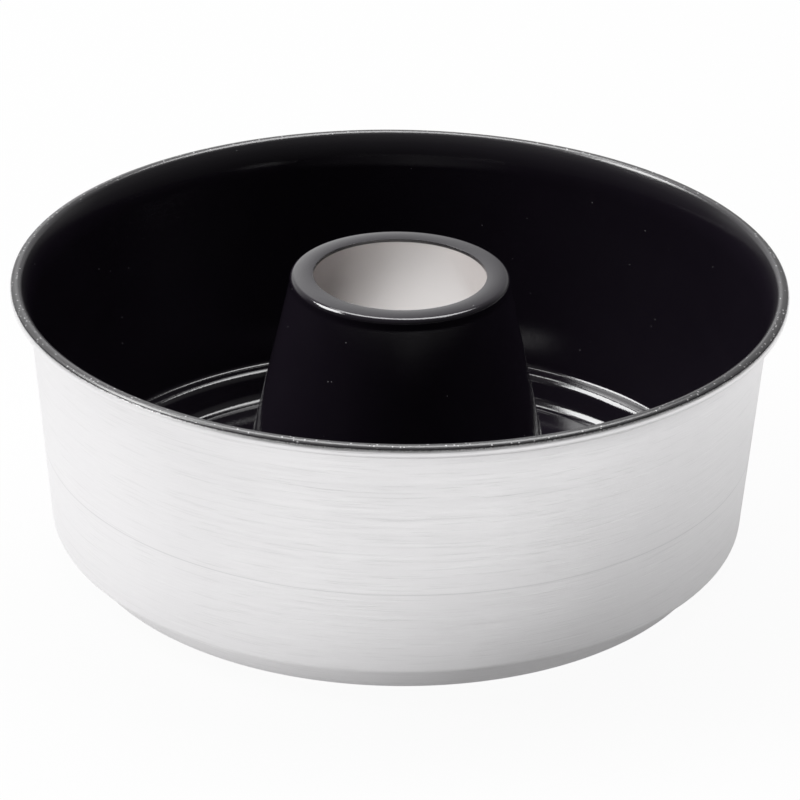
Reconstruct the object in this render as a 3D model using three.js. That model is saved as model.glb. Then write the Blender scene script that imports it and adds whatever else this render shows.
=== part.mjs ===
// Ring cake pan: a deep-drawn aluminium pressing with a non-stick coat bonded to its inner face.
// Millimetres, +Z up, the axis of the pan on Z and its foot standing on z = 0.
import * as THREE from 'three';

// Sheet and coat, with the bond line that keeps the coat clear of the metal
const sheetThickness = 1.0;
const bondLine = 0.02;
const coatThickness = 0.05;

// Rolled rim: the curl is open, with its cut edge tucked under the flare of the wall
const rimRadius = 125;
const rimHeight = 93.5;
const curlBore = 1.1;
const curlSweep = 270;
const flareSlope = 60;
const flareRadius = 24.5;

// How far past the top of the rim the coat runs, in degrees round the curl
const coatReach = 60;

// Side wall, ledge and foot, from the rim inwards; tapers are in degrees from the vertical
const wallTaper = 4.2;
const ledgeWidth = 4.8;
const ledgeHeight = 11;
const stepTaper = 20;

// Centre cone, from the pierced lip down
const holeRadius = 28.1;
const lipWidth = 7.45;
const lipDrop = 0.5;
const collarHeight = 3.4;
const coneTaper = 12.6;

// Inside radii of the bends
const lipBend = 0.8;
const collarBend = 6;
const coneFootBend = 4.5;
const footBend = 5;
const ledgeEdgeBend = 2.7;
const wallFootBend = 1.6;

// Facets: around the axis, and the most degrees that one step of a bend turns through
const facetsAround = 48;
const bendStep = 30;
const roundOff = 1e-6;

const toRadians = THREE.MathUtils.degToRad;
const outward = 0;
const upright = Math.PI / 2;

/** Unit vector that points along a heading, where x is the radius and y the height. */
function along(heading) {
  return new THREE.Vector2(Math.cos(heading), Math.sin(heading));
}

/** Unit normal on the left of a heading, which is the coated side of the sheet. */
function leftOf(heading) {
  return along(heading + upright);
}

/** Stations of the coated face along an arc, a left turn being hollow on the coated side. */
function arc(center, radius, headingIn, headingOut) {
  const turn = headingOut - headingIn;
  const steps = Math.max(2, Math.ceil(Math.abs(turn) / toRadians(bendStep) - roundOff));
  return Array.from({ length: steps + 1 }, (_, step) => {
    const heading = headingIn + (turn * step) / steps;
    const point = center.clone().addScaledVector(leftOf(heading), -Math.sign(turn) * radius);
    return { point, heading };
  });
}

/** Stations of the bend that rounds the corner between two straight runs of the sheet. */
function roundedCorner(corner, headingIn, headingOut, insideRadius) {
  const turn = headingOut - headingIn;
  const radius = turn > 0 ? insideRadius : insideRadius + sheetThickness;
  const start = corner.clone().addScaledVector(along(headingIn), -radius * Math.tan(Math.abs(turn) / 2));
  const center = start.addScaledVector(leftOf(headingIn), Math.sign(turn) * radius);
  return arc(center, radius, headingIn, headingOut);
}

/** The coated face in section: the cut edge of the hole, the face from the lip to the flare, and the curl. */
function coatedFace() {
  const wallHeading = upright - toRadians(wallTaper);
  const stepHeading = upright - toRadians(stepTaper);
  const coneHeading = toRadians(coneTaper) - upright;
  const flareHeading = toRadians(flareSlope);

  const beadRadius = curlBore + sheetThickness;
  const beadCenter = new THREE.Vector2(rimRadius - beadRadius, rimHeight - beadRadius);
  const flareCenter = beadCenter.clone().addScaledVector(leftOf(flareHeading), beadRadius - flareRadius);
  const flare = arc(flareCenter, flareRadius, wallHeading, flareHeading);
  const curl = arc(beadCenter, beadRadius, flareHeading, flareHeading - toRadians(curlSweep)).slice(1);

  const wallTop = flare[0].point;
  const wallLean = Math.tan(toRadians(wallTaper));
  const wallFoot = new THREE.Vector2(wallTop.x - (wallTop.y - ledgeHeight) * wallLean, ledgeHeight);
  const ledgeEdge = new THREE.Vector2(wallFoot.x - ledgeWidth, ledgeHeight);
  const stepLean = Math.tan(toRadians(stepTaper));
  const floor = sheetThickness;
  const footCorner = new THREE.Vector2(ledgeEdge.x - (ledgeHeight - floor) * stepLean, floor);

  const lipHeight = rimHeight - lipDrop;
  const holeEdge = new THREE.Vector2(holeRadius, lipHeight);
  const holeUnderside = new THREE.Vector2(holeRadius, lipHeight - sheetThickness);
  const lipCorner = new THREE.Vector2(holeRadius + lipWidth, lipHeight);
  const collarFoot = new THREE.Vector2(lipCorner.x, lipHeight - collarHeight);
  const coneLean = Math.tan(toRadians(coneTaper));
  const coneFoot = new THREE.Vector2(collarFoot.x + (collarFoot.y - floor) * coneLean, floor);

  const cutEdge = [
    { point: holeUnderside, heading: upright },
    ...arc(holeEdge, 0, upright, outward).slice(0, -1),
  ];
  const face = [
    { point: holeEdge, heading: outward },
    ...roundedCorner(lipCorner, outward, -upright, lipBend),
    ...roundedCorner(collarFoot, -upright, coneHeading, collarBend),
    ...roundedCorner(coneFoot, coneHeading, outward, coneFootBend),
    ...roundedCorner(footCorner, outward, stepHeading, footBend),
    ...roundedCorner(ledgeEdge, stepHeading, outward, ledgeEdgeBend),
    ...roundedCorner(wallFoot, outward, wallHeading, wallFootBend),
    ...flare,
  ];
  return { cutEdge, face, curl };
}

/** The line that runs beside the coated face at an even distance, above it where that is positive. */
function offsetLine(stations, distance) {
  return stations.map(({ point, heading }) => point.clone().addScaledVector(leftOf(heading), distance));
}

/** A layer of the section, between two lines beside the coated face, turned about Z. */
function revolvedLayer(stations, lower, upper) {
  const outline = [...offsetLine(stations, lower), ...offsetLine(stations, upper).reverse()];
  outline.push(outline[0].clone());
  return new THREE.LatheGeometry(outline, facetsAround).rotateX(upright);
}

/** A named piece of the pan in its own material. */
function piece(name, geometry, colour, roughness, metalness) {
  const mesh = new THREE.Mesh(geometry, new THREE.MeshStandardMaterial({ color: colour, roughness, metalness }));
  mesh.name = name;
  return mesh;
}

const { cutEdge, face, curl } = coatedFace();
const coatedCurl = curl.filter(({ heading }) => heading > -toRadians(coatReach) - roundOff);
const sheet = revolvedLayer([...face, ...curl], -sheetThickness, 0);
const coat = revolvedLayer([...cutEdge, ...face, ...coatedCurl], bondLine, bondLine + coatThickness);

const pan = new THREE.Group();
pan.add(piece('pan_pressing', sheet, 0xcfd0d2, 0.35, 1));
pan.add(piece('nonstick_coat', coat, 0x0c0b0e, 0.22, 0));

export default pan;
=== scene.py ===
"""Ring cake pan: a brushed aluminium pressing with a glossy non-stick lining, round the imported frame."""
import logging
import math
from dataclasses import dataclass, field
from enum import Enum
from typing import Any, Sequence

import bpy
from mathutils import Matrix, Quaternion, Vector


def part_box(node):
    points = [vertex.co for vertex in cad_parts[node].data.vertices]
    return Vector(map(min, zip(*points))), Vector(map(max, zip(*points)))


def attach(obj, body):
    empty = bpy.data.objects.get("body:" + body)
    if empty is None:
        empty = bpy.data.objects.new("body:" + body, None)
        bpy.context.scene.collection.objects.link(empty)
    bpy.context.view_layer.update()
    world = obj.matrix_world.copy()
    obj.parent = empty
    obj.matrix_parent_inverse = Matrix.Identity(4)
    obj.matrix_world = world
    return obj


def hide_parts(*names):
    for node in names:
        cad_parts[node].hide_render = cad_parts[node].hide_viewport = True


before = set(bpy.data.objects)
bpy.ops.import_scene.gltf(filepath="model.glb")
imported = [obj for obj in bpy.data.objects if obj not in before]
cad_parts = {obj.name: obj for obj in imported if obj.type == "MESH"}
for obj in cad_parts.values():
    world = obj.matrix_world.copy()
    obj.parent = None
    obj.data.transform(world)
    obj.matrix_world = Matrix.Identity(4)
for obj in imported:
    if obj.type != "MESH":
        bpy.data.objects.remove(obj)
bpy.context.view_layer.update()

MM = 0.001
BODY = "root"
OUTWARD = 0.0
UPRIGHT = math.pi / 2
RUN_ATTRIBUTE = "sheet_run"
CONE_ATTRIBUTE = "cone_face"
SPRAY_ATTRIBUTE = "overspray"
ROUND_OFF = 1e-6
NOISE_MEAN = 0.5
WHITE = (1.0, 1.0, 1.0, 1.0)

log = logging.getLogger("ring_cake_pan")

Point = tuple[float, float]
Band = tuple[float, float]
Place = tuple[float, float, float]
Tone = tuple[float, float, float, float]


class Layer(Enum):
    """The two layers of the pan, each by the CAD node that it replaces."""

    PRESSING = "pan_pressing"
    LINING = "nonstick_coat"


class Ray(Enum):
    """Kinds of ray that the stage answers in its own way, by their Light Path output."""

    CAMERA = "Is Camera Ray"
    GLOSSY = "Is Glossy Ray"
    TRANSMISSION = "Is Transmission Ray"


@dataclass(frozen=True)
class Station:
    """A point of the coated face in section, and the heading of the sheet there."""

    radius: float
    height: float
    heading: float

    def beside(self, distance: float, ahead: float = 0.0) -> Point:
        """Gives the point at a distance out of the coated face and ahead along the sheet.

        Args:
            distance: How far out of the coated face, negative into the metal.
            ahead: How far along the sheet's heading.

        Returns:
            Radius and height of the point.
        """
        out = self.heading + UPRIGHT
        radius = self.radius + distance * math.cos(out) + ahead * math.cos(self.heading)
        height = self.height + distance * math.sin(out) + ahead * math.sin(self.heading)
        return radius, height


@dataclass(frozen=True)
class SheetSection:
    """The drawn sheet in section, from the hole's edge to the end of the curl, in metres and degrees."""

    rim_radius: float
    rim_height: float
    sheet: float = 1.0 * MM

    # Rolled rim, and the film's reach round it
    curl_bore: float = 1.1 * MM
    curl_sweep: float = 270.0
    coat_reach: float = 52.5
    flare_slope: float = 60.0
    flare_radius: float = 24.5 * MM

    # Wall, ledge and step to the foot
    wall_taper: float = 4.2
    ledge_width: float = 4.8 * MM
    ledge_height: float = 11.0 * MM
    step_taper: float = 20.0

    # Centre cone and its lip
    hole_radius: float = 28.1 * MM
    lip_width: float = 7.45 * MM
    lip_drop: float = 0.5 * MM
    collar_height: float = 3.4 * MM
    cone_taper: float = 12.6
    lip_crown: float = 6.0

    # Inside radius of each bend
    lip_bend: float = 0.8 * MM
    collar_bend: float = 6.0 * MM
    cone_foot_bend: float = 4.5 * MM
    foot_bend: float = 5.0 * MM
    ledge_edge_bend: float = 2.7 * MM
    wall_foot_bend: float = 1.6 * MM

    # Spacing of the stations
    bend_step: float = 7.5
    fewest_steps: int = 2
    run_step: float = 5.0 * MM
    run_support: float = 0.4 * MM
    shortest_run: float = 1.2 * MM

    @property
    def lip_height(self) -> float:
        """Height of the coated face at the crest of the lip."""
        return self.rim_height - self.lip_drop

    def arc(self, center: Point, radius: float, heading_in: float, heading_out: float) -> list[Station]:
        """Lays stations along an arc of the sheet.

        Args:
            center: Radius and height of the arc's center.
            radius: Radius of the coated face there.
            heading_in: Heading at the start, in radians.
            heading_out: Heading at the end; a left turn is hollow on the coated side.

        Returns:
            Stations from start to end.
        """
        turn = heading_out - heading_in
        steps = max(self.fewest_steps, math.ceil(abs(turn) / math.radians(self.bend_step)))
        side = -math.copysign(radius, turn)
        stations = []
        for step in range(steps + 1):
            heading = heading_in + turn * step / steps
            middle = Station(center[0], center[1], heading)
            stations.append(Station(*middle.beside(side), heading))
        return stations

    def bend(self, corner: Point, heading_in: float, heading_out: float, inside: float) -> list[Station]:
        """Rounds the corner between two straight runs of the sheet.

        Args:
            corner: Radius and height where the runs would meet.
            heading_in: Heading of the run before the corner.
            heading_out: Heading of the run after it.
            inside: Inside radius of the bend.

        Returns:
            Stations along the bend.
        """
        turn = heading_out - heading_in
        radius = inside if turn > 0 else inside + self.sheet
        reach = radius * math.tan(abs(turn) / 2)
        center = Station(*corner, heading_in).beside(math.copysign(radius, turn), -reach)
        return self.arc(center, radius, heading_in, heading_out)

    def straight(self, start: Station, end: Station) -> list[Station]:
        """Fills the straight run between two stations, with a close one beside each bend.

        Args:
            start: Last station of the bend before the run.
            end: First station of the bend after it.

        Returns:
            The stations between them.
        """
        length = math.hypot(end.radius - start.radius, end.height - start.height)
        if length < self.shortest_run:
            return []
        count = max(1, round(length / self.run_step))
        stops = [length * index / count for index in range(1, count)]
        stops = [self.run_support, *stops, length - self.run_support]
        return [Station(*start.beside(0.0, stop), start.heading) for stop in stops]

    def bends(self) -> list[list[Station]]:
        """Works out every bend of the coated face from the sizes.

        Returns:
            One list of stations per bend, from the hole's edge to the end of the curl.
        """
        wall_heading = UPRIGHT - math.radians(self.wall_taper)
        step_heading = UPRIGHT - math.radians(self.step_taper)
        cone_heading = math.radians(self.cone_taper) - UPRIGHT
        flare_heading = math.radians(self.flare_slope)

        bead_radius = self.curl_bore + self.sheet
        bead_center = (self.rim_radius - bead_radius, self.rim_height - bead_radius)
        flare_center = Station(*bead_center, flare_heading).beside(bead_radius - self.flare_radius)
        curl_end = flare_heading - math.radians(self.curl_sweep)
        curl = self.arc(bead_center, bead_radius, flare_heading, curl_end)
        flare = self.arc(flare_center, self.flare_radius, wall_heading, flare_heading)

        wall_lean = math.tan(math.radians(self.wall_taper))
        wall_drop = flare[0].height - self.ledge_height
        wall_foot = (flare[0].radius - wall_drop * wall_lean, self.ledge_height)
        ledge_edge = (wall_foot[0] - self.ledge_width, self.ledge_height)
        step_lean = math.tan(math.radians(self.step_taper))
        foot_corner = (ledge_edge[0] - (self.ledge_height - self.sheet) * step_lean, self.sheet)

        lip_edge = self.hole_radius + self.lip_width
        collar_foot = (lip_edge, self.lip_height - self.collar_height)
        cone_lean = math.tan(math.radians(self.cone_taper))
        cone_foot = (collar_foot[0] + (collar_foot[1] - self.sheet) * cone_lean, self.sheet)

        crown_turn = math.radians(self.lip_crown)
        edge_radius = self.lip_bend + self.sheet
        edge_start = lip_edge - edge_radius * (1.0 - math.sin(crown_turn))
        crown_half = (edge_start - self.hole_radius) / 2
        crown_radius = crown_half / math.sin(crown_turn)
        crown_center = (self.hole_radius + crown_half, self.lip_height - crown_radius)
        edge_rise = (crown_radius - edge_radius) * math.cos(crown_turn)
        edge_center = (lip_edge - edge_radius, crown_center[1] + edge_rise)

        return [
            self.arc(crown_center, crown_radius, crown_turn, -crown_turn),
            self.arc(edge_center, edge_radius, -crown_turn, -UPRIGHT)[1:],
            self.bend(collar_foot, -UPRIGHT, cone_heading, self.collar_bend),
            self.bend(cone_foot, cone_heading, OUTWARD, self.cone_foot_bend),
            self.bend(foot_corner, OUTWARD, step_heading, self.foot_bend),
            self.bend(ledge_edge, step_heading, OUTWARD, self.ledge_edge_bend),
            self.bend(wall_foot, OUTWARD, wall_heading, self.wall_foot_bend),
            flare,
            curl[1:],
        ]

    def join(self, bends: Sequence[list[Station]]) -> list[Station]:
        """Joins bends and the straight runs between them into one line of stations."""
        face: list[Station] = []
        for bend in bends:
            if face:
                face += self.straight(face[-1], bend[0])
            face += bend
        return face

    def coated_face(self) -> list[Station]:
        """Lays the whole sheet's line of stations, from the hole's edge to the end of the curl."""
        return self.join(self.bends())

    def filmed_face(self) -> list[Station]:
        """Lays the film's line of stations: up the hole's cut edge, over the face and on to the rim."""
        *bends, curl = self.bends()
        edge = bends[0][0]
        below = Station(edge.radius, edge.height - self.sheet, UPRIGHT)
        corner = self.arc((edge.radius, edge.height), 0.0, UPRIGHT, edge.heading)
        last_heading = -math.radians(self.coat_reach) - ROUND_OFF
        filmed_curl = [station for station in curl if station.heading > last_heading]
        return [below, *corner[:-1], *self.join([*bends, filmed_curl])]


@dataclass(frozen=True)
class Outline:
    """A layer's closed outline in section, with what its vertices carry: values by attribute name."""

    points: list[Point]
    values: dict[str, list[float]]


@dataclass(frozen=True)
class LayerSection:
    """A layer of the sheet between two lines beside its stations, with rounded cut edges."""

    face: list[Station]
    lower: float
    upper: float
    edge_round: float
    edge_steps: int = 3

    # The cone lies within this radius and above this height
    cone_radius: float = 56.0 * MM
    cone_foot: float = 1.0 * MM

    # Dry spray comes in between these radii, and fades between these degrees past the rim's top
    rim_start: float = 119.5 * MM
    rim_full: float = 122.5 * MM
    spray_start: float = 52.0
    spray_end: float = 68.0

    def runs(self) -> list[float]:
        """Measures how far along the sheet each station lies from the first one."""
        runs = [0.0]
        for before, after in zip(self.face, self.face[1:]):
            step = math.hypot(after.radius - before.radius, after.height - before.height)
            runs.append(runs[-1] + step)
        return runs

    def spray(self, station: Station) -> float:
        """Gives the share of dry spray on a station: none before the rim, and none far round its curl."""
        past_top = -math.degrees(station.heading)
        share = (self.spray_end - past_top) / (self.spray_end - self.spray_start)
        rim_share = (station.radius - self.rim_start) / (self.rim_full - self.rim_start)
        return max(0.0, min(1.0, share, rim_share))

    def on_cone(self, point: Point) -> float:
        """Gives 1 for a point of the section on the centre cone, and 0 elsewhere."""
        radius, height = point
        return float(radius < self.cone_radius and height > self.cone_foot)

    def cut_end(self, station: Station, outward: float) -> list[Point]:
        """Rounds one cut end of the layer.

        Args:
            station: Station at the cut.
            outward: 1 where the cut faces along the heading, -1 where it faces back.

        Returns:
            Points round the cut, from the lower line to the upper.
        """
        points = []
        corners = ((self.lower + self.edge_round, -UPRIGHT), (self.upper - self.edge_round, OUTWARD))
        for offset, start in corners:
            for step in range(self.edge_steps + 1):
                angle = start + UPRIGHT * step / self.edge_steps
                reach = outward * self.edge_round * (math.cos(angle) - 1.0)
                points.append(station.beside(offset + self.edge_round * math.sin(angle), reach))
        return points

    def outline(self) -> Outline:
        """Lays the closed outline: the lower line, the last cut, the upper line back, the first cut."""
        runs = self.runs()
        between = self.face[1:-1]
        last_cut = self.cut_end(self.face[-1], 1.0)
        first_cut = self.cut_end(self.face[0], -1.0)[::-1]
        points = [station.beside(self.lower) for station in between]
        points += last_cut
        points += [station.beside(self.upper) for station in reversed(between)]
        points += first_cut
        last_runs = runs[-1:] * len(last_cut)
        first_runs = runs[:1] * len(first_cut)
        bare = [0.0] * (len(between) + len(last_cut))
        sprayed = [self.spray(station) for station in reversed(between)]
        return Outline(points, {
            RUN_ATTRIBUTE: runs[1:-1] + last_runs + runs[-2:0:-1] + first_runs,
            CONE_ATTRIBUTE: [self.on_cone(point) for point in points],
            SPRAY_ATTRIBUTE: bare + sprayed + [0.0] * len(first_cut),
        })


class NodeDesk:
    """Adds, sets and joins the nodes of one tree."""

    # The Mix node repeats its socket names for each kind of data, so they go by number
    VALUE_INPUTS = (2, 3)
    VALUE_OUTPUT = 0
    COLOUR_INPUTS = (6, 7)
    COLOUR_OUTPUT = 2

    def __init__(self, tree: bpy.types.NodeTree) -> None:
        """Takes the tree to work on."""
        self.tree = tree

    @classmethod
    def emptied(cls, owner: bpy.types.Material | bpy.types.World) -> "NodeDesk":
        """Empties the node tree of a material or a world, and gives a desk for it."""
        owner.use_nodes = True
        owner.node_tree.nodes.clear()
        return cls(owner.node_tree)

    def add(self, kind: str, feeds: dict[Any, Any] | None = None, **settings: Any) -> bpy.types.Node:
        """Adds a node.

        Args:
            kind: The node's type name.
            feeds: Values or sockets for its inputs, by name or index.
            settings: Values for the node's own properties.

        Returns:
            The node.
        """
        node = self.tree.nodes.new(kind)
        for name, value in settings.items():
            setattr(node, name, value)
        for name, value in (feeds or {}).items():
            self.feed(node.inputs[name], value)
        return node

    def feed(self, socket: bpy.types.NodeSocket, value: Any) -> None:
        """Links a socket to an input, or sets the input's own value."""
        if isinstance(value, bpy.types.NodeSocket):
            self.tree.links.new(value, socket)
        else:
            socket.default_value = value

    def math(self, operation: str, first: Any, second: Any = 0.0) -> bpy.types.NodeSocket:
        """Adds one arithmetic node and gives its result."""
        node = self.add("ShaderNodeMath", {0: first, 1: second}, operation=operation)
        return node.outputs["Value"]

    def spread(self, value: Any, band: Band, at_low: float, at_high: float) -> bpy.types.NodeSocket:
        """Maps a band of a value to another band, held at the ends.

        Args:
            value: The value to map.
            band: Its lowest and highest value.
            at_low: Result at the lowest and below it.
            at_high: Result at the highest and above it.

        Returns:
            The result.
        """
        low, high = band
        feeds = {"Value": value, "From Min": low, "From Max": high, "To Min": at_low, "To Max": at_high}
        return self.add("ShaderNodeMapRange", feeds).outputs["Result"]

    def ramp(self, share: Any, at_none: float, at_full: float) -> bpy.types.NodeSocket:
        """Maps a share from 0 to 1 to a value."""
        return self.spread(share, (0.0, 1.0), at_none, at_full)

    def scaled(self, value: Any, factor: Any) -> bpy.types.NodeSocket:
        """Multiplies a value by a factor."""
        return self.math("MULTIPLY", value, factor)

    def distance(self, place: Any, other: Place) -> bpy.types.NodeSocket:
        """Measures how far one place is from another."""
        node = self.add("ShaderNodeVectorMath", {0: place, 1: other}, operation="DISTANCE")
        return node.outputs["Value"]

    def object_place(self) -> bpy.types.NodeSocket:
        """Gives the place on the piece, in its own frame."""
        return self.add("ShaderNodeTexCoord").outputs["Object"]

    def parts(self, vector: Any) -> bpy.types.NodeOutputs:
        """Splits a vector into its X, Y and Z."""
        return self.add("ShaderNodeSeparateXYZ", {"Vector": vector}).outputs

    def noise(self, place: Any, scale: Any, detail: Any, roughness: float = 0.5) -> bpy.types.NodeSocket:
        """Adds a noise.

        Args:
            place: Where the noise is read.
            scale: Cells of the noise per unit of the place.
            detail: Octaves of finer noise.
            roughness: How strong the finer noise is.

        Returns:
            The noise, from 0 to 1.
        """
        feeds = {"Vector": place, "Scale": scale, "Detail": detail, "Roughness": roughness}
        return self.add("ShaderNodeTexNoise", feeds).outputs["Fac"]

    def attribute(self, name: str) -> bpy.types.NodeSocket:
        """Gives the value that the piece's vertices carry under a name."""
        return self.add("ShaderNodeAttribute", attribute_name=name).outputs["Fac"]

    def bump(self, depth: float, height: Any) -> bpy.types.NodeSocket:
        """Gives the normal of a surface with a relief.

        Args:
            depth: Depth of the relief, in metres.
            height: Height over the surface, as a share of the depth.

        Returns:
            The normal.
        """
        node = self.add("ShaderNodeBump", {"Strength": 1.0, "Distance": depth, "Height": height})
        return node.outputs["Normal"]

    def blend(self, factor: Any, first: Any, second: Any) -> bpy.types.NodeSocket:
        """Blends two values and gives the result."""
        node = self.add("ShaderNodeMix", {"Factor": factor}, data_type="FLOAT")
        for index, value in zip(self.VALUE_INPUTS, (first, second)):
            self.feed(node.inputs[index], value)
        return node.outputs[self.VALUE_OUTPUT]

    def mix(self, factor: Any, first: Any, second: Any) -> bpy.types.NodeSocket:
        """Mixes two colours and gives the result."""
        node = self.add("ShaderNodeMix", {"Factor": factor}, data_type="RGBA")
        for index, value in zip(self.COLOUR_INPUTS, (first, second)):
            self.feed(node.inputs[index], value)
        return node.outputs[self.COLOUR_OUTPUT]


class RevolveTree:
    """Geometry Nodes tree that turns a closed section about Z, with its inputs by name."""

    NAME = "Turned section"

    def __init__(self) -> None:
        """Builds the tree."""
        self.tree = bpy.data.node_groups.new(self.NAME, "GeometryNodeTree")
        self.identifiers: dict[str, str] = {}
        for name, kind in (
            ("Section", "NodeSocketGeometry"),
            ("Mean Radius", "NodeSocketFloat"),
            ("Segments", "NodeSocketInt"),
            ("Finish", "NodeSocketMaterial"),
        ):
            socket = self.tree.interface.new_socket(name, in_out="INPUT", socket_type=kind)
            self.identifiers[name] = socket.identifier
        self.tree.interface.new_socket("Piece", in_out="OUTPUT", socket_type="NodeSocketGeometry")
        self._join()

    def _join(self) -> None:
        """Adds the nodes: the section as a profile, swept round an upright circle, with its finish."""
        desk = NodeDesk(self.tree)
        given = desk.add("NodeGroupInput").outputs
        profile = desk.add("GeometryNodeMeshToCurve", {"Mesh": given["Section"]})
        circle = desk.add("GeometryNodeCurvePrimitiveCircle", {
            "Resolution": given["Segments"],
            "Radius": given["Mean Radius"],
        })
        ring = desk.add("GeometryNodeSetCurveNormal", {"Curve": circle.outputs["Curve"]}, mode="Z_UP")
        swept = desk.add("GeometryNodeCurveToMesh", {
            "Curve": ring.outputs["Curve"],
            "Profile Curve": profile.outputs["Curve"],
        })
        smooth = desk.add("GeometryNodeSetShadeSmooth", {"Geometry": swept.outputs["Mesh"]})
        real = desk.add("GeometryNodeRealizeInstances", {"Geometry": smooth.outputs["Geometry"]})
        dressed = desk.add("GeometryNodeSetMaterial", {
            "Geometry": real.outputs["Geometry"],
            "Material": given["Finish"],
        })
        desk.add("NodeGroupOutput", {"Piece": dressed.outputs["Geometry"]})

    def turn(
        self, name: str, outline: Outline, segments: int, material: bpy.types.Material
    ) -> bpy.types.Object:
        """Turns an outline into a plain mesh piece.

        Args:
            name: Name of the piece.
            outline: Closed outline, with the lower line first.
            segments: Facets round the axis.
            material: Finish of the piece.

        Returns:
            The piece, at the origin.
        """
        mean_radius = sum(radius for radius, _ in outline.points) / len(outline.points)
        count = len(outline.points)
        strip = bpy.data.meshes.new(name + "_section")
        vertices = [(radius - mean_radius, -height, 0.0) for radius, height in reversed(outline.points)]
        strip.from_pydata(vertices, [(index, (index + 1) % count) for index in range(count)], [])
        for label, values in outline.values.items():
            layer = strip.attributes.new(label, "FLOAT", "POINT")
            layer.data.foreach_set("value", values[::-1])
        maker = bpy.data.objects.new(name + "_maker", strip)
        bpy.context.scene.collection.objects.link(maker)
        modifier = maker.modifiers.new(self.NAME, "NODES")
        modifier.node_group = self.tree
        modifier[self.identifiers["Mean Radius"]] = mean_radius
        modifier[self.identifiers["Segments"]] = segments
        modifier[self.identifiers["Finish"]] = material
        depsgraph = bpy.context.evaluated_depsgraph_get()
        mesh = bpy.data.meshes.new_from_object(maker.evaluated_get(depsgraph))
        mesh.name = name
        bpy.data.objects.remove(maker)
        piece = bpy.data.objects.new(name, mesh)
        bpy.context.scene.collection.objects.link(piece)
        return piece


class EffectGroup:
    """A shader node group for an effect that more than one finish uses."""

    def __init__(self, name: str, inputs: Sequence[str], outputs: Sequence[str]) -> None:
        """Makes the group and its sockets.

        Args:
            name: Name of the group.
            inputs: Names of the value inputs.
            outputs: Names of the value outputs.
        """
        self.tree = bpy.data.node_groups.new(name, "ShaderNodeTree")
        for way, labels in (("INPUT", inputs), ("OUTPUT", outputs)):
            for label in labels:
                self.tree.interface.new_socket(label, in_out=way, socket_type="NodeSocketFloat")
        self.desk = NodeDesk(self.tree)
        self.given = self.desk.add("NodeGroupInput").outputs
        self.result = self.desk.add("NodeGroupOutput").inputs
        self.draw()

    def draw(self) -> None:
        """Joins the group's nodes; each effect says how."""
        raise NotImplementedError

    def place(self, desk: NodeDesk, **values: float) -> bpy.types.NodeOutputs:
        """Places the group in a material.

        Args:
            desk: The material's desk.
            values: A value for each input.

        Returns:
            The outputs of the placed group.
        """
        return desk.add("ShaderNodeGroup", values, node_tree=self.tree).outputs


@dataclass(frozen=True)
class Streaks:
    """A set of turned lines: noise cells per metre along and across them, and octaves of finer noise."""

    along: float
    across: float
    detail: float


class TurnedGrain(EffectGroup):
    """Fine lines that run round the axis, drawn from a noise that is stretched along them."""

    ROUGHNESS = 0.55

    def __init__(self) -> None:
        """Names the sockets, which are the values of a set of lines."""
        super().__init__("Turned grain", ("Along", "Across", "Detail"), ("Streak",))

    def draw(self) -> None:
        """Stretches the noise along the circle, and packs it along the sheet's own run."""
        desk = self.desk
        parts = desk.parts(desk.object_place())
        spot = desk.add("ShaderNodeCombineXYZ", {
            "X": desk.scaled(parts["X"], self.given["Along"]),
            "Y": desk.scaled(parts["Y"], self.given["Along"]),
            "Z": desk.scaled(desk.attribute(RUN_ATTRIBUTE), self.given["Across"]),
        })
        streak = desk.noise(spot.outputs["Vector"], 1.0, self.given["Detail"], self.ROUGHNESS)
        desk.feed(self.result["Streak"], streak)

    def lines(self, desk: NodeDesk, streaks: Streaks) -> bpy.types.NodeSocket:
        """Places the group in a material for one set of lines.

        Args:
            desk: The material's desk.
            streaks: The set of lines.

        Returns:
            The strength of the lines, from 0 to 1.
        """
        placed = self.place(desk, Along=streaks.along, Across=streaks.across, Detail=streaks.detail)
        return placed["Streak"]


class Handling(EffectGroup):
    """Soft uneven patches that handling and wiping leave on a finish."""

    DETAIL = 3.0
    ROUGHNESS = 0.6
    PATCH_BAND = (0.35, 0.65)

    def __init__(self) -> None:
        """Names the socket: noise cells per metre."""
        super().__init__("Handling marks", ("Scale",), ("Patch",))

    def draw(self) -> None:
        """Turns a broad noise into soft patches."""
        desk = self.desk
        noise = desk.noise(desk.object_place(), self.given["Scale"], self.DETAIL, self.ROUGHNESS)
        desk.feed(self.result["Patch"], desk.spread(noise, self.PATCH_BAND, 0.0, 1.0))

    def patches(self, desk: NodeDesk, scale: float) -> bpy.types.NodeSocket:
        """Places the group in a material with so many noise cells per metre, and gives the patches."""
        return self.place(desk, Scale=scale)["Patch"]


@dataclass(frozen=True)
class Effects:
    """The effects that the finishes share."""

    grain: TurnedGrain = field(default_factory=TurnedGrain)
    handling: Handling = field(default_factory=Handling)


class Finish:
    """A material with one Principled shader; each finish says what feeds it."""

    name: str

    def material(self, effects: Effects) -> bpy.types.Material:
        """Builds the material.

        Args:
            effects: The shared effect groups.

        Returns:
            The finished material.
        """
        material = bpy.data.materials.new(self.name)
        desk = NodeDesk.emptied(material)
        shader = desk.add("ShaderNodeBsdfPrincipled")
        desk.add("ShaderNodeOutputMaterial", {"Surface": shader.outputs["BSDF"]})
        self.draw(desk, shader.inputs, effects)
        return material

    def draw(self, desk: NodeDesk, shader: bpy.types.NodeInputs, effects: Effects) -> None:
        """Feeds the shader; each finish says how."""
        raise NotImplementedError


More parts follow.
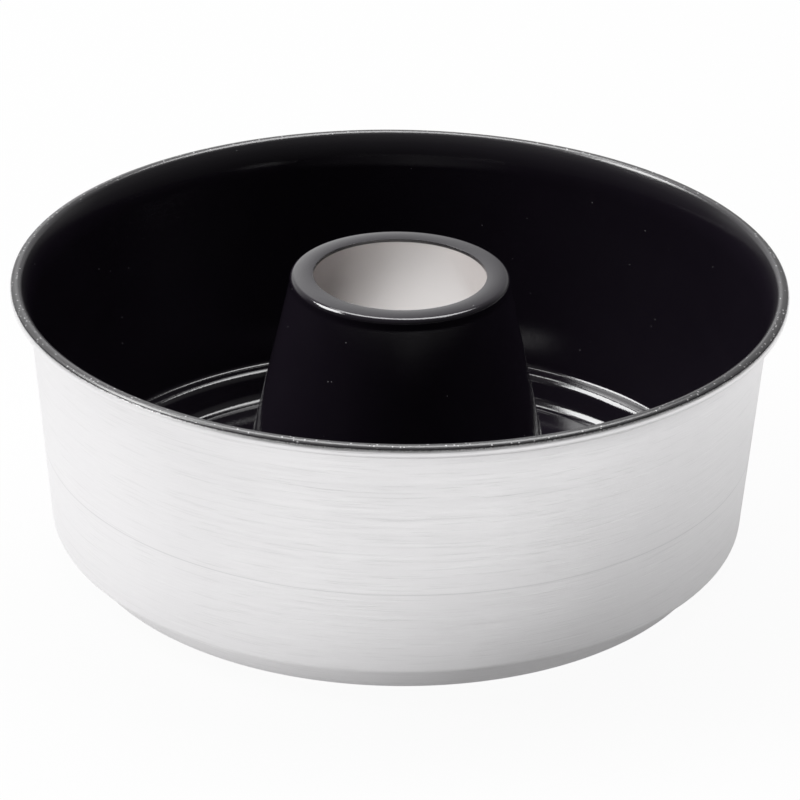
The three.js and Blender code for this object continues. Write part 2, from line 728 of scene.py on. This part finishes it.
@dataclass(frozen=True)
class BrushedAluminium(Finish):
    """Bare sheet: brushed round the wall by a polishing wheel, and smooth as drawn inside the cone."""

    name: str = "brushed_aluminium"
    bright: Tone = (0.95, 0.94, 0.95, 1.0)
    dull: Tone = (0.81, 0.80, 0.805, 1.0)
    # Painted shade for the furrows, also the tool line's own tone; then the painted highlight for the
    # ridges
    furrow_shade_and_tool_line: Tone = (0.50, 0.50, 0.51, 1.0)
    ridge_highlight: Tone = (0.99, 0.99, 0.99, 1.0)
    drawn_tone: Tone = (0.83, 0.80, 0.79, 1.0)
    mist_tone: Tone = (0.070, 0.068, 0.071, 1.0)

    # Brushed lines, and the short dashes among them: raised ridges with a painted highlight and sunk
    # furrows with painted shade
    fine_lines: Streaks = Streaks(along=90.0, across=6000.0, detail=2.0)
    broad_lines: Streaks = Streaks(along=22.0, across=1800.0, detail=3.0)
    ridge_lines: Streaks = Streaks(along=80.0, across=2000.0, detail=1.0)
    furrow_lines: Streaks = Streaks(along=55.0, across=2300.0, detail=1.0)
    fine_share: float = 0.3
    dash_band: Band = (0.60, 0.70)
    tone_band: Band = (0.35, 0.65)
    dull_share: float = 0.22
    # Shares of painted highlight on the ridges and painted shade in the furrows
    ridge_highlight_share: float = 0.3
    furrow_shade_share: float = 0.10

    # Roughness and relief of the lines
    rough_band: Band = (0.3, 0.7)
    smooth: float = 0.27
    coarse: float = 0.42
    patch_scale: float = 16.0
    patch_rough: float = 0.05
    anisotropy: float = 0.6
    grain_turn: float = 0.25
    groove_depth: float = 0.042 * MM
    dash_share: float = 0.40

    # Face inside the cone
    drawn_rough: float = 0.23
    drawn_metal: float = 0.90
    drawn_groove: float = 0.1

    # Line that the drawing tool leaves
    line_height: float = 39.5 * MM
    line_band: Band = (0.08 * MM, 0.30 * MM)
    line_share: float = 0.3

    # Overspray on the rim
    mist_rough: float = 0.30
    drop_scale: float = 3000.0
    drop_detail: float = 2.0
    drop_spread: float = 2.4
    cover_band: Band = (0.40, 0.80)
    cover_most: float = 0.9
    mist_edge: Band = (0.0, 0.1)

    def draw(self, desk: NodeDesk, shader: bpy.types.NodeInputs, effects: Effects) -> None:
        """Feeds the shader with the brushed lines and the painted highlight and shade on their dashes, the
        drawn face in the cone and the overspray.
        """
        fine = desk.scaled(effects.grain.lines(desk, self.fine_lines), self.fine_share)
        broad = desk.scaled(effects.grain.lines(desk, self.broad_lines), 1.0 - self.fine_share)
        grain = desk.math("ADD", fine, broad)
        ridge = desk.spread(effects.grain.lines(desk, self.ridge_lines), self.dash_band, 0.0, 1.0)
        furrow = desk.spread(effects.grain.lines(desk, self.furrow_lines), self.dash_band, 0.0, 1.0)
        patch = effects.handling.patches(desk, self.patch_scale)
        cone = desk.attribute(CONE_ATTRIBUTE)
        mist = self.overspray(desk)

        tone = desk.mix(desk.spread(grain, self.tone_band, self.dull_share, 0.0), self.bright, self.dull)
        # Painted highlight on the dashes' ridges
        tone = desk.mix(desk.scaled(ridge, self.ridge_highlight_share), tone, self.ridge_highlight)
        # Painted shade in the dashes' furrows
        tone = desk.mix(desk.scaled(furrow, self.furrow_shade_share), tone, self.furrow_shade_and_tool_line)
        tone = desk.mix(self.drawing_line(desk), tone, self.furrow_shade_and_tool_line)
        tone = desk.mix(cone, tone, self.drawn_tone)
        desk.feed(shader["Base Color"], desk.mix(mist, tone, self.mist_tone))
        metal = desk.scaled(desk.ramp(cone, 1.0, self.drawn_metal), desk.ramp(mist, 1.0, 0.0))
        desk.feed(shader["Metallic"], metal)

        rough = desk.spread(grain, self.rough_band, self.smooth, self.coarse)
        rough = desk.math("ADD", rough, desk.scaled(patch, self.patch_rough))
        rough = desk.blend(cone, rough, self.drawn_rough)
        desk.feed(shader["Roughness"], desk.blend(mist, rough, self.mist_rough))
        desk.feed(shader["Anisotropic"], self.anisotropy)
        desk.feed(shader["Anisotropic Rotation"], self.grain_turn)
        tangent = desk.add("ShaderNodeTangent", direction_type="RADIAL", axis="Z")
        desk.feed(shader["Tangent"], tangent.outputs["Tangent"])

        dash = desk.scaled(desk.math("SUBTRACT", ridge, furrow), self.dash_share)
        groove = desk.scaled(desk.math("ADD", grain, dash), desk.ramp(cone, 1.0, self.drawn_groove))
        desk.feed(shader["Normal"], desk.bump(self.groove_depth, groove))

    def drawing_line(self, desk: NodeDesk) -> bpy.types.NodeSocket:
        """Marks the fine line that the drawing tool leaves right round the wall, and gives its share."""
        height = desk.parts(desk.object_place())["Z"]
        away = desk.math("ABSOLUTE", desk.math("SUBTRACT", height, self.line_height))
        return desk.spread(away, self.line_band, self.line_share, 0.0)

    def overspray(self, desk: NodeDesk) -> bpy.types.NodeSocket:
        """Breaks up the rim's overspray into fine drops, and gives the share of the metal they cover."""
        drops = desk.noise(desk.object_place(), self.drop_scale, self.drop_detail)
        spray = desk.attribute(SPRAY_ATTRIBUTE)
        uneven = desk.scaled(desk.math("SUBTRACT", drops, NOISE_MEAN), self.drop_spread)
        cover = desk.spread(desk.math("ADD", spray, uneven), self.cover_band, 0.0, self.cover_most)
        return desk.scaled(cover, desk.spread(spray, self.mist_edge, 0.0, 1.0))


@dataclass(frozen=True)
class GlossNonstick(Finish):
    """Sprayed black film: glossy, with a faint orange peel, and dry and flecked on the rim."""

    name: str = "gloss_nonstick"
    film: Tone = (0.0121, 0.0093, 0.0148, 1.0)
    worn: Tone = (0.0161, 0.0128, 0.0192, 1.0)
    dry_tone: Tone = (0.052, 0.050, 0.053, 1.0)
    fleck_tone: Tone = (0.50, 0.50, 0.505, 1.0)

    # Wiped patches
    patch_scale: float = 22.0
    worn_share: float = 0.6
    patch_rough: float = 0.03

    # Flecks: cells per metre, dryness that adds more, reach within a cell, and the lot a cell needs
    fleck_cells: float = 900.0
    fleck_band: Band = (0.6, 1.0)
    fleck_reach: float = 0.14
    dry_fleck_reach: float = 0.27
    fleck_lot: float = 0.995
    dry_fleck_lot: float = 0.70

    # Gloss
    turned_lines: Streaks = Streaks(along=10.0, across=700.0, detail=3.0)
    rough_band: Band = (0.3, 0.7)
    smooth: float = 0.04
    coarse: float = 0.09
    dry_rough: float = 0.28
    refraction: float = 1.75

    # Orange peel
    peel_scale: float = 2200.0
    peel_detail: float = 2.0
    peel_depth: float = 0.020 * MM
    dry_peel: float = 2.0

    def draw(self, desk: NodeDesk, shader: bpy.types.NodeInputs, effects: Effects) -> None:
        """Feeds the shader with a wiped film, dry on the rim, and its flecks and orange peel."""
        patch = effects.handling.patches(desk, self.patch_scale)
        turned = effects.grain.lines(desk, self.turned_lines)
        dry = desk.attribute(SPRAY_ATTRIBUTE)

        tone = desk.mix(desk.scaled(patch, self.worn_share), self.film, self.worn)
        tone = desk.mix(dry, tone, self.dry_tone)
        desk.feed(shader["Base Color"], desk.mix(self.flecks(desk, dry), tone, self.fleck_tone))

        rough = desk.spread(turned, self.rough_band, self.smooth, self.coarse)
        rough = desk.math("ADD", rough, desk.scaled(patch, self.patch_rough))
        desk.feed(shader["Roughness"], desk.blend(dry, rough, self.dry_rough))
        desk.feed(shader["IOR"], self.refraction)

        peel = desk.noise(desk.object_place(), self.peel_scale, self.peel_detail)
        height = desk.scaled(peel, desk.ramp(dry, 1.0, self.dry_peel))
        desk.feed(shader["Normal"], desk.bump(self.peel_depth, height))

    def flecks(self, desk: NodeDesk, dry: bpy.types.NodeSocket) -> bpy.types.NodeSocket:
        """Scatters flecks, with larger and many more of them where the film is dry.

        Args:
            desk: The material's desk.
            dry: Share of dry spray.

        Returns:
            1 on a fleck and 0 elsewhere.
        """
        feeds = {"Vector": desk.object_place(), "Scale": self.fleck_cells}
        cells = desk.add("ShaderNodeTexVoronoi", feeds).outputs
        flecked = desk.spread(dry, self.fleck_band, 0.0, 1.0)
        reach = desk.ramp(flecked, self.fleck_reach, self.dry_fleck_reach)
        near = desk.math("LESS_THAN", cells["Distance"], reach)
        lot = desk.add("ShaderNodeSeparateColor", {"Color": cells["Color"]}).outputs["Red"]
        least_lot = desk.ramp(flecked, self.fleck_lot, self.dry_fleck_lot)
        return desk.scaled(near, desk.math("GREATER_THAN", lot, least_lot))


@dataclass
class RingPan:
    """The pan: one drawn sheet with a rolled rim, stepped foot and centre cone, and its film."""

    bond_line: float = 0.02 * MM
    coat: float = 0.05 * MM
    cut_round: float = 0.12 * MM
    film_round: float = 0.02 * MM
    segments: int = 288
    crease_angle: float = 50.0

    def section(self) -> SheetSection:
        """Fits the section to the CAD pressing's own box, so that the round rim stays within it."""
        _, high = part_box(Layer.PRESSING.value)
        return SheetSection(rim_radius=high.x, rim_height=high.z)

    def build(
        self, tree: RevolveTree, finishes: dict[Layer, bpy.types.Material]
    ) -> dict[Layer, bpy.types.Object]:
        """Turns both layers.

        Args:
            tree: The tree that turns a section.
            finishes: Material of each layer.

        Returns:
            The piece of each layer.
        """
        section = self.section()
        film_top = self.bond_line + self.coat
        layers = {
            Layer.PRESSING: LayerSection(section.coated_face(), -section.sheet, 0.0, self.cut_round),
            Layer.LINING: LayerSection(section.filmed_face(), self.bond_line, film_top, self.film_round),
        }
        names = {Layer.PRESSING: "pressed_shell", Layer.LINING: "nonstick_lining"}
        pieces = {}
        for layer, shape in layers.items():
            piece = tree.turn(names[layer], shape.outline(), self.segments, finishes[layer])
            piece.data.set_sharp_from_angle(angle=math.radians(self.crease_angle))
            pieces[layer] = piece
        return pieces

    def dress(self, pieces: dict[Layer, bpy.types.Object]) -> None:
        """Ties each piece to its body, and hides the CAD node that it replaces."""
        for layer, piece in pieces.items():
            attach(piece, BODY)
            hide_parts(layer.value)
            log.info("%s: %d faces, for %s", piece.name, len(piece.data.polygons), layer.value)


@dataclass(frozen=True)
class SoftBox:
    """A flat oblong studio lamp that faces a point over the floor, in metres, degrees and watts."""

    name: str
    azimuth: float
    elevation: float
    distance: float
    width: float
    height: float
    watts: float
    roll: float = 0.0
    aim: Vector = field(default_factory=lambda: Vector((0.0, 0.0, 0.05)))

    def hang(self) -> None:
        """Puts the lamp up; its azimuth is from the front, positive to the right."""
        across, up = math.radians(self.azimuth), math.radians(self.elevation)
        flat = math.cos(up)
        way = Vector((math.sin(across) * flat, -math.cos(across) * flat, math.sin(up)))
        lamp = bpy.data.lights.new(self.name, "AREA")
        lamp.shape = "RECTANGLE"
        lamp.size = self.width
        lamp.size_y = self.height
        lamp.energy = self.watts
        holder = bpy.data.objects.new(self.name, lamp)
        holder.location = self.aim + way * self.distance
        turned = Quaternion((0.0, 0.0, 1.0), math.radians(self.roll))
        holder.rotation_euler = ((-way).to_track_quat("-Z", "Y") @ turned).to_euler()
        bpy.context.scene.collection.objects.link(holder)


@dataclass(frozen=True)
class PhotoCamera:
    """The camera as the photograph's perspective gives it, in metres and degrees."""

    distance: float = 1.1301
    elevation: float = 26.321
    target_height: float = 0.045
    yaw: float = 0.0335
    pitch: float = 0.1183
    roll: float = 0.9465
    focal_pixels: float = 3444.1
    image_pixels: float = 800.0
    sensor: float = 36.0
    nearest: float = 0.05
    farthest: float = 50.0

    def place(self) -> None:
        """Makes the camera and gives it to the scene."""
        lift = math.radians(self.elevation)
        raised = self.target_height + self.distance * math.sin(lift)
        position = Vector((0.0, -self.distance * math.cos(lift), raised))
        ahead = Vector((0.0, math.cos(lift), -math.sin(lift)))
        right = Vector((1.0, 0.0, 0.0))
        up = right.cross(ahead)
        yawed = math.tan(math.radians(self.yaw)) * right
        pitched = math.tan(math.radians(self.pitch)) * up
        ahead = (ahead + yawed + pitched).normalized()
        level_right = ahead.cross(Vector((0.0, 0.0, 1.0))).normalized()
        level_up = level_right.cross(ahead)
        turn = math.radians(self.roll)
        right = math.cos(turn) * level_right + math.sin(turn) * level_up
        up = math.cos(turn) * level_up - math.sin(turn) * level_right
        data = bpy.data.cameras.new("photo_camera")
        data.sensor_width = self.sensor
        data.lens = self.focal_pixels / self.image_pixels * self.sensor
        data.clip_start = self.nearest
        data.clip_end = self.farthest
        camera = bpy.data.objects.new("photo_camera", data)
        axes = Matrix((right, up, -ahead)).transposed()
        camera.matrix_world = Matrix.Translation(position) @ axes.to_4x4()
        bpy.context.scene.collection.objects.link(camera)
        bpy.context.scene.camera = camera


@dataclass(frozen=True)
class PaleFloor:
    """The floor: nearly white to the camera, matt to light, and to gloss a glow with a painted shadow
    round the pan and a painted pool of light under the cone, in metres.
    """

    half: float = 4.0
    tone: float = 0.66
    camera_glow: float = 0.95

    # What gloss sees, by distance from a place: a painted shadow in the pan's shade and under its foot,
    # and a painted pool of light in the spot under the cone
    shade_place: Place = (0.08, 0.0, 0.0)
    shade_band: Band = (0.12, 0.22)
    painted_shadow_glow: float = 0.26
    far_glow: float = 0.85
    foot_place: Place = (0.0, 0.0, 0.0)
    foot_band: Band = (0.085, 0.10)
    light_pool_place: Place = (-0.02, 0.012, 0.0)
    light_pool_band: Band = (0.025, 0.055)
    light_pool_glow: float = 1.1

    def lay(self) -> None:
        """Makes the floor."""
        half = self.half
        corners = [(-half, -half, 0.0), (half, -half, 0.0), (half, half, 0.0), (-half, half, 0.0)]
        mesh = bpy.data.meshes.new("floor")
        mesh.from_pydata(corners, [], [(0, 1, 2, 3)])
        mesh.materials.append(self.material())
        floor = bpy.data.objects.new("floor", mesh)
        bpy.context.scene.collection.objects.link(floor)

    def material(self) -> bpy.types.Material:
        """Builds the floor's material: matt, mixed with a white glow by kind of ray."""
        material = bpy.data.materials.new("pale_floor")
        desk = NodeDesk.emptied(material)
        matt = desk.add("ShaderNodeBsdfDiffuse", {"Color": (self.tone, self.tone, self.tone, 1.0)})
        glow = desk.add("ShaderNodeEmission", {"Color": WHITE, "Strength": 1.0})
        rays = desk.add("ShaderNodeLightPath").outputs
        share = desk.scaled(rays[Ray.CAMERA.value], self.camera_glow)
        seen = self.glow_to_gloss(desk)
        for kind in (Ray.GLOSSY, Ray.TRANSMISSION):
            share = desk.math("ADD", share, desk.scaled(rays[kind.value], seen))
        blend = desk.add("ShaderNodeMixShader", {
            0: share,
            1: matt.outputs["BSDF"],
            2: glow.outputs["Emission"],
        })
        desk.add("ShaderNodeOutputMaterial", {"Surface": blend.outputs["Shader"]})
        return material

    def glow_to_gloss(self, desk: NodeDesk) -> bpy.types.NodeSocket:
        """Gives the glow that gloss sees: a painted shadow, dim near the pan and none under it, and a
        painted pool of light, bright under the cone.
        """
        place = desk.object_place()
        # Painted shadow of the pan, dim round it and shifted to its right
        shade = desk.distance(place, self.shade_place)
        glow = desk.spread(shade, self.shade_band, self.painted_shadow_glow, self.far_glow)
        # Painted shadow under the pan's foot, where gloss sees no glow
        from_foot = desk.distance(place, self.foot_place)
        glow = desk.scaled(glow, desk.spread(from_foot, self.foot_band, 0.0, 1.0))
        # Painted pool of light on the floor under the cone's hole
        from_light_pool = desk.distance(place, self.light_pool_place)
        return desk.math("MAXIMUM", glow, desk.spread(from_light_pool, self.light_pool_band, self.light_pool_glow, 0.0))


@dataclass(frozen=True)
class StudioWorld:
    """What is round the pan: white to the camera, a sweep to gloss and a dim grey to other light."""

    ambient: float = 0.05

    # Sheet at the back, by the direction's X, Y and Z
    left_band: Band = (-0.40, -0.15)
    left_glow: float = 0.70
    back_glow: float = 1.25
    right_band: Band = (-0.12, 0.12)
    right_glow: float = 0.34
    depth_band: Band = (0.3, 0.8)
    foot_band: Band = (0.08, 0.22)
    foot_share: float = 0.1
    rise_band: Band = (0.20, 0.70)
    low_share: float = 1.2
    high_share: float = 0.4

    # Dim front, by the direction's Y and Z
    front_band: Band = (-0.6, 0.3)
    front_glow: float = 0.06
    side_glow: float = 0.10
    front_rise: Band = (0.0, 0.7)
    front_low: float = 0.3
    front_high: float = 1.5

    def surround(self) -> None:
        """Makes the world and gives it to the scene."""
        world = bpy.data.worlds.new("studio")
        desk = NodeDesk.emptied(world)
        rays = desk.add("ShaderNodeLightPath").outputs
        extra = desk.math("SUBTRACT", self.sweep(desk), self.ambient)
        strength = desk.scaled(rays[Ray.CAMERA.value], 1.0 - self.ambient)
        strength = desk.math("ADD", strength, self.ambient)
        for kind in (Ray.GLOSSY, Ray.TRANSMISSION):
            strength = desk.math("ADD", strength, desk.scaled(rays[kind.value], extra))
        glow = desk.add("ShaderNodeBackground", {"Color": WHITE, "Strength": strength})
        desk.add("ShaderNodeOutputWorld", {"Surface": glow.outputs["Background"]})
        bpy.context.scene.world = world

    def sweep(self, desk: NodeDesk) -> bpy.types.NodeSocket:
        """Gives the glow by direction: a back sheet, brightest in its left half, and a dim front."""
        way = desk.parts(desk.add("ShaderNodeTexCoord").outputs["Generated"])
        sheet = desk.spread(way["X"], self.left_band, self.left_glow, self.back_glow)
        fall = desk.spread(way["X"], self.right_band, 0.0, self.back_glow - self.right_glow)
        sheet = desk.math("SUBTRACT", sheet, fall)
        sheet = desk.scaled(sheet, desk.spread(way["Y"], self.depth_band, 0.0, 1.0))
        sheet = desk.scaled(sheet, desk.spread(way["Z"], self.foot_band, self.foot_share, 1.0))
        rise = desk.spread(way["Z"], self.rise_band, self.low_share, self.high_share)
        sheet = desk.scaled(sheet, rise)
        front = desk.spread(way["Y"], self.front_band, self.front_glow, self.side_glow)
        front_rise = desk.spread(way["Z"], self.front_rise, self.front_low, self.front_high)
        return desk.math("ADD", sheet, desk.scaled(front, front_rise))


@dataclass(frozen=True)
class Studio:
    """A white sweep with soft lamps, and the camera."""

    floor: PaleFloor = PaleFloor()
    world: StudioWorld = StudioWorld()
    camera: PhotoCamera = PhotoCamera()
    lamps: tuple[SoftBox, ...] = (
        SoftBox(
            "key_left", azimuth=-99.0, elevation=46.0, roll=-30.0,
            distance=3.0, width=1.80, height=1.10, watts=65.0,
        ),
        SoftBox(
            "top", azimuth=168.0, elevation=71.0,
            distance=3.0, width=2.80, height=1.50, watts=80.0,
        ),
    )

    def set_up(self) -> None:
        """Lays the floor, lights it and places the camera."""
        bpy.context.scene.view_settings.view_transform = "Standard"
        self.floor.lay()
        self.world.surround()
        for lamp in self.lamps:
            lamp.hang()
        self.camera.place()


def main() -> None:
    """Builds the studio and the pan, and reports each piece."""
    logging.basicConfig(level=logging.INFO, format="%(name)s: %(message)s")
    Studio().set_up()
    effects = Effects()
    finishes = {
        Layer.PRESSING: BrushedAluminium().material(effects),
        Layer.LINING: GlossNonstick().material(effects),
    }
    pan = RingPan()
    pieces = pan.build(RevolveTree(), finishes)
    pan.dress(pieces)


if __name__ == "__main__":
    main()
